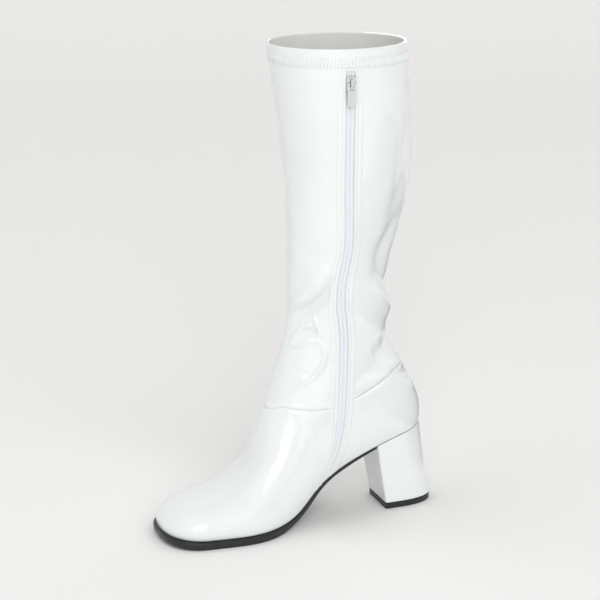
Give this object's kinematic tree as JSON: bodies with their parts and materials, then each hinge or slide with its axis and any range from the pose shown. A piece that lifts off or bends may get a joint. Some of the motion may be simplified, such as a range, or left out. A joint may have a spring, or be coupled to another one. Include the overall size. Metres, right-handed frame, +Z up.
{
  "type": "go go boot",
  "caption": "Right go go boot in white patent with a block heel, rounded square toe, stitched hem and an inside zip from the arch to the collar.",
  "frame": {"origin": "middle of the heel's tread, on the floor that the boot stands on", "axes": "+Z up along the shaft, -Y towards the toe, +X to the medial side with the zip"},
  "size_m": [0.1067, 0.2643, 0.4282],
  "materials": {
    "white_patent": "high gloss white patent, soft folds",
    "black_rubber": "satin black moulded rubber",
    "lining": "off-white textile sock and lining",
    "zip_tape": "bluish white woven tape with a closed coil",
    "nickel": "polished nickel"
  },
  "bodies": {
    "boot": {"outsole": "black_rubber", "heel_top_piece": "black_rubber", "insole": "lining", "upper": "white_patent", "shaft": "white_patent", "heel": "white_patent", "zip_tape": "zip_tape", "zip_slider": "nickel"},
    "zip_pull": {"zip_pull_tab": "nickel"}
  },
  "joints": [
    {"name": "zip_pull_hinge", "type": "hinge", "parent": "boot", "child": "zip_pull", "pos_m": [0.05307, -0.07611, 0.39987], "axis": [-0.1465, -0.9891, -0.0154], "range_deg": [0, 165]}
  ]
}
